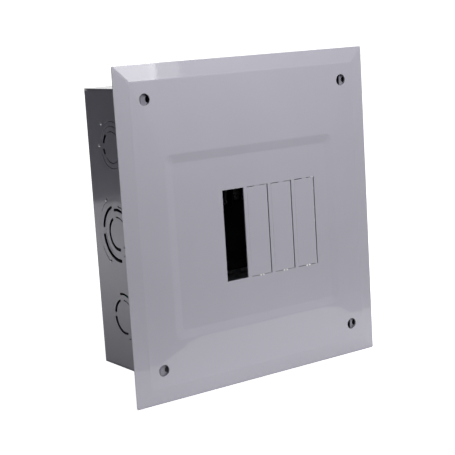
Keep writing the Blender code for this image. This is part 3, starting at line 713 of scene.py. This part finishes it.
def tapered_slit(x, z, spec):
    """A curved slit through the left wall, wider behind than in front, to show the dark inside."""
    radius, start_deg, end_deg, start_width, end_width = spec
    shape = bmesh.new()
    rows = []
    for i in range(SLIT_STEPS + 1):
        share = i / SLIT_STEPS
        angle = math.radians(between(start_deg, end_deg, share))
        half = between(start_width, end_width, share) * MM / 2
        section = (
            (-half, SLIT_START),
            (half, SLIT_START),
            (half + TEAR, SLIT_END),
            (-half - TEAR, SLIT_END),
        )
        row = []
        for out, along in section:
            reach = radius * MM + out
            y = KNOCKOUT_Y + reach * math.cos(angle)
            row.append(shape.verts.new((x + along, y, z + reach * math.sin(angle))))
        rows.append(row)
    closed(shape, rows)
    return shape


def ring_groove(x, z, radius):
    """A ring about an X axis with a diamond section, to score a groove in a side wall."""
    shape = bmesh.new()
    section = ((-GROOVE_WIDTH, 0), (0, -GROOVE_DEPTH), (GROOVE_WIDTH, 0), (0, GROOVE_DEPTH))
    rings = []
    for i in range(GROOVE_POINTS):
        angle = 2 * math.pi * i / GROOVE_POINTS
        ring = []
        for out, along in section:
            reach = radius + out
            y = KNOCKOUT_Y + reach * math.cos(angle)
            ring.append(shape.verts.new((x + along, y, z + reach * math.sin(angle))))
        rings.append(ring)
    strips(shape, rings + rings[:1])
    bmesh.ops.recalc_face_normals(shape, faces=shape.faces)
    return shape


def enclosure(look):
    """The wrapped sheet, with torn slits, scored knockout rings and small stake marks."""
    low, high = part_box("enclosure_wrap")
    made = refined("enclosure_wrap", "enclosure_sheet", WRAP_EDGE)
    slits = []
    for z, arcs in SIDE_SLITS:
        slits += [tapered_slit(low.x, z, spec) for spec in arcs]
    grooves = []
    nubs = []
    for x in (low.x, high.x):
        for z, radii in SIDE_RINGS:
            grooves += [ring_groove(x, z, radius * MM) for radius in radii]
        for y, z in NUBS:
            nubs.append(pip((x, y * MM, z * MM), NUB_SIZE))
    cut(made, slits)
    cut(made, grooves)
    shade(made, SHEET_SHADE_DEG)
    dress(made, "enclosure", "enclosure_enamel", look, ["enclosure_wrap"])
    marks = gathered("stake_marks", nubs)
    shade(marks)
    dress(marks, "enclosure", "galvanised_steel", look)


# ---------------------------------------------------------------- screws and the other nodes

# Machine screws by the start of the node's name: (head height, shank radius, thread pitch)
TERMINAL_SCREW = (2.6 * MM, 2.2 * MM, 0.9 * MM)
FIXING_SCREW = (2.4 * MM, 2.1 * MM, 0.9 * MM)
SMALL_SCREW = (2.2 * MM, 1.6 * MM, 0.7 * MM)
SCREW_KINDS = {
    "neutral_screw": TERMINAL_SCREW,
    "ground_screw": TERMINAL_SCREW,
    "neutral_bar_screw": FIXING_SCREW,
    "ground_bar_screw": FIXING_SCREW,
    "pan_screw": FIXING_SCREW,
    "bonding_screw": FIXING_SCREW,
    "bus_screw": SMALL_SCREW,
    "rail_screw": SMALL_SCREW,
}
AROUND = 32  # sides of a turned screw
THREAD_ROWS = 6  # to one pitch
THREAD_DEPTH = 0.3  # of the pitch
# A machine screw's blunt point, as (share of the shank's radius, distance from its end)
POINT = ((0.55, 0.0), (0.8, 0.4 * MM))
# How far its thread stops from its end and from its head
THREAD_GAPS = (0.6 * MM, 0.3 * MM)
NECK = 0.86  # of the shank's radius
# The edge under its head, as (share of the head's radius, height)
UNDER_HEAD = (0.97, 0.12 * MM)
DOME_HEIGHT = 0.45  # of the head's height
DOME_TOP = 0.45  # of the head's radius, left flat
DRIVER = (1.0 * MM, 1.1 * MM)  # width and depth of the slot
CROSS_DEEPER = 1.25  # times the slot's depth
SLOT_REACH = 1.1  # of the head's radius
CROSS_REACH = 0.6  # of the head's radius
SET_SCREWS = ("main_lug_a_screw", "main_lug_b_screw", "neutral_lug_screw")
SET_SCREW_PITCH = 1.3 * MM
SET_SCREW_EDGE = 0.6 * MM
SOCKET = (2.1 * MM, 4.5 * MM)  # radius and depth
SOCKET_SIDES = 6
# Widths of rounded edges by material slot, for nodes without a piece of their own
EDGE_WIDTHS = {
    "enclosure_enamel": 0.18 * MM,
    "galvanised_steel": 0.2 * MM,
    "black_moulding": 0.35 * MM,
    "white_moulding": 0.35 * MM,
}
OTHER_EDGE = 0.15 * MM


def turned(profile, place):
    """A solid turned about a -Y axis from (radius, height) points; a radius may be a function."""
    shape = bmesh.new()
    rings = []
    for radius, height in profile:
        ring = []
        for i in range(AROUND):
            angle = 2 * math.pi * i / AROUND
            reach = radius(angle) if callable(radius) else radius
            point = Vector((reach * math.cos(angle), -height, reach * math.sin(angle)))
            ring.append(shape.verts.new(place + point))
        rings.append(ring)
    closed(shape, rings)
    return shape


def thread(radius, pitch, start, end):
    """Profile points of a screw thread: a ridge that climbs one pitch a turn."""
    rows = max(2, round((end - start) / pitch * THREAD_ROWS))

    def ridge(height):
        def reach(angle):
            phase = (height / pitch - angle / (2 * math.pi)) % 1
            return radius - THREAD_DEPTH * pitch * abs(2 * phase - 1)

        return reach

    heights = [start + (end - start) * i / rows for i in range(rows + 1)]
    return [(ridge(height), height) for height in heights]


def machine_screw(kind, front, radius, length):
    """Profile of a screw with a domed head, and the cutters of its slot and its cross."""
    head, shank, pitch = SCREW_KINDS[kind]
    edge_share, edge_height = UNDER_HEAD
    profile = [(shank * share, -length + height) for share, height in POINT]
    profile += thread(shank, pitch, -length + THREAD_GAPS[0], -head - THREAD_GAPS[1])
    profile += [(shank * NECK, -head), (radius * edge_share, -head)]
    profile.append((radius, -head + edge_height))
    dome = head * DOME_HEIGHT
    profile.append((radius, -dome))
    for share in (0.25, 0.5, 0.75, 1.0):
        turn = share * math.pi / 2
        reach = radius * (DOME_TOP + (1 - DOME_TOP) * math.cos(turn))
        profile.append((reach, -dome + dome * math.sin(turn)))

    def notch(half_x, half_z, depth):
        low = (front.x - half_x, front.y - MM, front.z - half_z)
        high = (front.x + half_x, front.y + depth, front.z + half_z)
        return [block(low, high)]

    width, depth = DRIVER
    slot = notch(radius * SLOT_REACH, width / 2, depth)
    cross = notch(width / 2, radius * CROSS_REACH, depth * CROSS_DEEPER)
    return profile, (slot, cross)


def set_screw(front, radius, length):
    """Profile of a headless screw, and the cutter of its hexagon socket."""
    edge = SET_SCREW_EDGE
    profile = [(radius - 1.4 * edge, -length), (radius - edge, -length + 0.5 * edge)]
    profile += thread(radius, SET_SCREW_PITCH, -length + edge, -edge)
    profile += [(radius - 0.8 * edge, -0.15 * MM), (radius - 1.1 * edge, 0.0)]
    socket_radius, socket_depth = SOCKET
    depths = (front.y - MM, front.y + socket_depth)
    socket = rod_y(front.x, front.z, socket_radius, *depths, SOCKET_SIDES)
    return profile, ([socket],)


def screws(look, owner, slots):
    """Every screw, threaded and with its driver's recess; returns their nodes."""
    done = set()
    for node in sorted(NODES):
        kind = next((kind for kind in SCREW_KINDS if node.startswith(kind)), None)
        if kind is None and node not in SET_SCREWS:
            continue
        low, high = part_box(node)
        middle = (low + high) / 2
        radius = (high.x - low.x) / 2
        length = high.y - low.y
        front = Vector((middle.x, low.y, middle.z))
        if kind:
            profile, tools = machine_screw(kind, front, radius, length)
        else:
            profile, tools = set_screw(front, radius, length)
        made = put(f"{node}_piece", turned(profile, front))
        for tool in tools:
            cut(made, tool)
        shade(made, NODE_SHADE_DEG)
        dress(made, owner[node], slots[node], look, [node])
        done.add(node)
    return done


def dressed_nodes(look):
    """Every CAD node that no piece above stands for: rounded edges and its slot's material."""
    owner = {}
    for body, nodes in frame["record"]["behaviour"]["bodies"].items():
        for node in nodes:
            owner[node] = body
    slots = {entry["node"]: entry["material_slot"] for entry in frame["record"]["subparts"]}
    done = screws(look, owner, slots)
    for node in sorted(NODES):
        if node in done or NODES[node].hide_render:
            continue
        slot = slots[node]
        made = refined(node, f"{node}_piece", EDGE_WIDTHS.get(slot, OTHER_EDGE))
        dress(made, owner[node], slot, look, [node])


# ---------------------------------------------------------------- set and light

# The room's bright side, the cosines from it between which the light changes, and its levels
BRIGHT_SIDE = (0.9, 0.65, 0.2)
SIDE_RANGE = (0.1, 0.9)
SIDE_LEVELS = (0.05, 1.3)
# The share of that light low and high in the room
HORIZON = (-0.4, 0.5)
HEIGHT_LEVELS = (0.35, 1.0)
BACKDROP_LEVEL = 1.2
FLOOR_GLOW = 0.85
FLOOR_REACH = 8
FLOOR_Z = RIM_LOW.z - 1 * MM
FLOOR_BELOW_TABLE = 0.1 * MM
# Corners of the table top, whose edges show in the enamel
TABLE_FRONT = (
    (-0.71, -0.2),
    (-0.02, -0.2),
    (0.03, -0.235),
    (0.16, -0.235),
    (0.24, -0.18),
    (0.42, -0.15),
)
TABLE_BACK = ((0.42, 1.0), (-0.71, 1.0))
TABLE_TONE = (0.84, 0.84, 0.84)
# Where the painted shadow of the box on it starts and ends in X, and its tone and its emitted
# painted light at those two places
TABLE_PAINTED_SHADOW = (-0.12, -0.48)
PAINTED_SHADOW_TONES = (0.32, 0.92)
PAINTED_LIGHT_LEVELS = (0.2, 0.70)
# Colour of the painted light that the table emits
PAINTED_LIGHT_COLOUR = (0.93, 0.92, 1, 1)
# (name, azimuth, elevation and distance from the cover's face, size, power) of each softbox
LIGHTS = (
    ("key", 19.6, 25, 1.5, (0.52, 0.58), 4.75),
    ("key_edge", 30.4, 25, 1.5, (0.06, 0.58), 0.17),
    ("top", 3, 47, 0.7, (0.6, 0.5), 5.75),
)


def floor_material():
    n = Nodes("studio_floor")
    tone = n.ramp(n.noise(6, 3), ((0.3, 0.80), (0.7, 0.83)))
    rough = n.ramp(n.noise(30, 3), ((0.3, 0.55), (0.7, 0.7)))
    n.set(Emission_Color=WHITE, Emission_Strength=FLOOR_GLOW)
    return n.finish(tone, rough, n.bump(n.noise(400, 2), 0.1 * MM, 0.3))


def table_material():
    """A white table top with a painted shadow left of the box, where little light reaches it, and
    painted light emitted there.
    """
    n = Nodes("table_painted_shadow_and_light")
    parts = n.add("ShaderNodeSeparateXYZ")
    n.link(n.place, parts.inputs["Vector"])
    along = n.add("ShaderNodeMapRange", interpolation_type="SMOOTHSTEP")
    along.inputs["From Min"].default_value = TABLE_PAINTED_SHADOW[0]
    along.inputs["From Max"].default_value = TABLE_PAINTED_SHADOW[1]
    n.link(parts.outputs["X"], along.inputs["Value"])
    beside = n.add("ShaderNodeMath", operation="GREATER_THAN")
    beside.inputs[1].default_value = FRONT_Y
    n.link(parts.outputs["Y"], beside.inputs[0])
    # Painted shadow: left of the box, the table's tone darkens towards it
    painted_shadow = n.ramp(along.outputs["Result"], tuple(zip((0.0, 1.0), PAINTED_SHADOW_TONES)))
    tone = n.mix(beside.outputs["Value"], TABLE_TONE, painted_shadow)
    # Painted light: there the table emits light, least near the box, though it is no lamp
    painted_light = n.add("ShaderNodeMath", operation="MULTIPLY")
    painted_light_levels = n.ramp(along.outputs["Result"], tuple(zip((0.0, 1.0), PAINTED_LIGHT_LEVELS)))
    n.link(painted_light_levels, painted_light.inputs[0])
    n.link(beside.outputs["Value"], painted_light.inputs[1])
    n.link(painted_light.outputs["Value"], n.shader.inputs["Emission Strength"])
    n.set(Roughness=0.9, Specular_IOR_Level=0.0, Emission_Color=PAINTED_LIGHT_COLOUR)
    return n.finish(tone)


def from_cover(azimuth_deg, elevation_deg, distance):
    """A point seen from the cover's face, by azimuth from straight ahead towards the right."""
    azimuth = math.radians(azimuth_deg)
    elevation = math.radians(elevation_deg)
    level = math.cos(elevation)
    away = Vector((math.sin(azimuth) * level, -math.cos(azimuth) * level, math.sin(elevation)))
    return Vector((COVER_CENTRE.x, FRONT_Y, COVER_CENTRE.z)) + away * distance


def plane(name, corners, material):
    """A flat card from its corners."""
    shape = bmesh.new()
    shape.faces.new([shape.verts.new(corner) for corner in corners])
    made = put(name, shape)
    made.data.materials.append(material)
    return made


def softbox(name, place, target, size, power):
    light = bpy.data.lights.new(name, "AREA")
    light.shape = "RECTANGLE"
    light.size, light.size_y = size
    light.energy = power
    made = bpy.data.objects.new(name, light)
    bpy.context.scene.collection.objects.link(made)
    made.location = place
    made.rotation_euler = (target - place).to_track_quat("-Z", "Y").to_euler()


def world():
    """A dim room whose back right is brighter, behind a white backdrop."""
    made = bpy.data.worlds.new("studio")
    bpy.context.scene.world = made
    made.use_nodes = True
    tree = made.node_tree

    def add(kind, **settings):
        node = tree.nodes.new(kind)
        for name, value in settings.items():
            setattr(node, name, value)
        return node

    def spread(source, limits, levels):
        node = add("ShaderNodeMapRange", interpolation_type="SMOOTHSTEP")
        names = ("From Min", "From Max", "To Min", "To Max")
        for name, value in zip(names, (*limits, *levels)):
            node.inputs[name].default_value = value
        tree.links.new(source, node.inputs["Value"])
        return node.outputs["Result"]

    def times(first, second):
        node = add("ShaderNodeMath", operation="MULTIPLY")
        tree.links.new(first, node.inputs[0])
        tree.links.new(second, node.inputs[1])
        return node.outputs["Value"]

    direction = add("ShaderNodeTexCoord").outputs["Generated"]
    facing = add("ShaderNodeVectorMath", operation="DOT_PRODUCT")
    facing.inputs[1].default_value = Vector(BRIGHT_SIDE).normalized()
    tree.links.new(direction, facing.inputs[0])
    parts = add("ShaderNodeSeparateXYZ")
    tree.links.new(direction, parts.inputs["Vector"])
    side = spread(facing.outputs["Value"], SIDE_RANGE, SIDE_LEVELS)
    height = spread(parts.outputs["Z"], HORIZON, HEIGHT_LEVELS)
    light = tree.nodes["Background"]
    light.inputs["Color"].default_value = WHITE
    tree.links.new(times(side, height), light.inputs["Strength"])
    backdrop = add("ShaderNodeBackground")
    backdrop.inputs["Color"].default_value = WHITE
    backdrop.inputs["Strength"].default_value = BACKDROP_LEVEL
    chosen = add("ShaderNodeMixShader")
    tree.links.new(add("ShaderNodeLightPath").outputs["Is Camera Ray"], chosen.inputs["Fac"])
    tree.links.new(light.outputs["Background"], chosen.inputs[1])
    tree.links.new(backdrop.outputs["Background"], chosen.inputs[2])
    tree.links.new(chosen.outputs["Shader"], tree.nodes["World Output"].inputs["Surface"])


def studio():
    """A pale floor, the small table that the model's sides reflect, and the softboxes."""
    bpy.context.scene.view_settings.view_transform = "Standard"
    world()
    corners = []
    for x, y in ((-1, -1), (1, -1), (1, 1), (-1, 1)):
        corners.append((x * FLOOR_REACH, y * FLOOR_REACH, FLOOR_Z - FLOOR_BELOW_TABLE))
    floor = plane("floor", corners, floor_material())
    floor.visible_diffuse = False
    floor.visible_glossy = False
    corners = [(x, y, FLOOR_Z) for x, y in TABLE_FRONT + TABLE_BACK]
    table = plane("table", corners, table_material())
    table.visible_camera = False
    table.visible_shadow = False
    target = Vector((COVER_CENTRE.x, FRONT_Y, COVER_CENTRE.z))
    for name, azimuth_deg, elevation_deg, distance, size, power in LIGHTS:
        place = from_cover(azimuth_deg, elevation_deg, distance)
        softbox(name, place, target, size, power)


camera()
LOOK = materials()
cover(LOOK)
twistouts(LOOK)
enclosure(LOOK)
dressed_nodes(LOOK)
studio()
